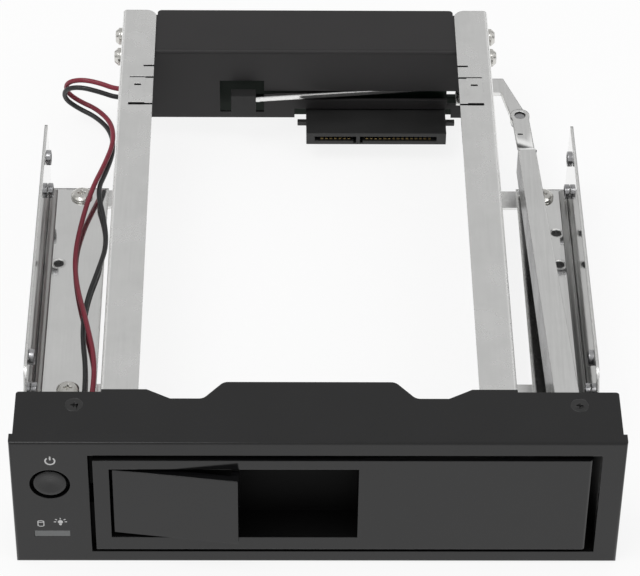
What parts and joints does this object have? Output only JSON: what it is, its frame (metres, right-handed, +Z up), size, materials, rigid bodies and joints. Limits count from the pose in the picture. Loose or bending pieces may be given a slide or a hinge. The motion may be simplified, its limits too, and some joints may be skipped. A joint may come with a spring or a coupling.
{
  "type": "hot swap drive cage",
  "caption": "Trayless hot swap cage for a half-height front bay: hinged door with latch handle, open steel rails, side brackets and a lever ejector for a bare drive.",
  "frame": {"origin": "middle of the cage's bounding box, on the standing surface under the front plate and the bracket feet", "axes": "+X to the right seen from the front, +Y from the door to the rear sockets, +Z up"},
  "size_m": [0.1486, 0.188, 0.0415],
  "materials": {
    "black_abs": "fine-grained moulded black ABS",
    "handle_plastic": "smoother black plastic",
    "zinc_steel": "bright zinc-plated sheet, slightly mirror-like",
    "bright_screws": "bright zinc-plated",
    "black_screws": "black oxide",
    "spring_steel": "spring steel",
    "black_steel": "satin black coated sheet",
    "circuit_board": "dark solder mask",
    "connector_plastic": "black glass-filled plastic",
    "nylon_plug": "natural nylon",
    "gold_contacts": "gold flash",
    "boot_rubber": "soft black rubber",
    "light_pipe_clear": "smoky clear acrylic",
    "led_resin": "milky resin",
    "red_insulation": "soft red PVC",
    "black_insulation": "soft black PVC"
  },
  "bodies": {
    "cage": {"bezel": "black_abs", "rail_left": "zinc_steel", "rail_right": "zinc_steel", "bracket_left": "zinc_steel", "bracket_right": "zinc_steel", "bracket_screws": "bright_screws", "cover_screws": "bright_screws", "ejector_rivet": "bright_screws", "backplane_screws": "bright_screws", "front_board_screws": "bright_screws", "standoffs": "bright_screws", "door_hinge_pins": "bright_screws", "bezel_screws": "black_screws", "rear_cover": "black_steel", "backplane": "circuit_board", "front_board": "circuit_board", "drive_receptacle": "connector_plastic", "rear_data_socket": "connector_plastic", "rear_power_socket": "connector_plastic", "power_switch": "connector_plastic", "lead_header": "nylon_plug", "lead_plug": "nylon_plug", "receptacle_contacts": "gold_contacts", "light_pipe": "light_pipe_clear", "status_leds": "led_resin", "lead_red": "red_insulation", "lead_black": "black_insulation"},
    "door": {"door": "black_abs", "door_crank_pin": "bright_screws", "handle_pin": "bright_screws", "handle_spring": "spring_steel"},
    "handle": {"handle": "handle_plastic"},
    "power_button": {"power_button": "black_abs"},
    "ejector": {"ejector_lever": "zinc_steel", "ejector_boot": "boot_rubber", "push_rod_rivet": "bright_screws"},
    "push_rod": {"push_rod": "zinc_steel"}
  },
  "joints": [
    {"name": "door_hinge", "type": "hinge", "parent": "cage", "child": "door", "pos_m": [0.0606, -0.08527, 0.0205], "axis": [0, 0, 1], "range_deg": [0, 90]},
    {"name": "handle_pivot", "type": "hinge", "parent": "door", "child": "handle", "pos_m": [-0.044, -0.08807, 0.0212], "axis": [0, 0, -1], "range_deg": [-7.5, 7.5], "stiffness_Nm_per_rad": 0.05, "deforming": ["handle_spring"]},
    {"name": "ejector_pivot", "type": "hinge", "parent": "cage", "child": "ejector", "pos_m": [0.045, 0.07873, 0.015], "axis": [0, 0, 1], "range_deg": [0, 14.8]},
    {"name": "push_rod_pivot", "type": "hinge", "parent": "ejector", "child": "push_rod", "pos_m": [0.0584, 0.06503, 0.0162], "axis": [0, 0, 1], "range_deg": [-15.9, 0]},
    {"name": "button_press", "type": "slide", "parent": "cage", "child": "power_button", "axis": [0, 1, 0], "range_m": [0, 0.001], "stiffness_N_per_m": 800}
  ],
  "couplings": [
    {"joint": "ejector_pivot", "follows": "door_hinge", "ratio": 0.163},
    {"joint": "push_rod_pivot", "follows": "door_hinge", "ratio": -0.175}
  ]
}
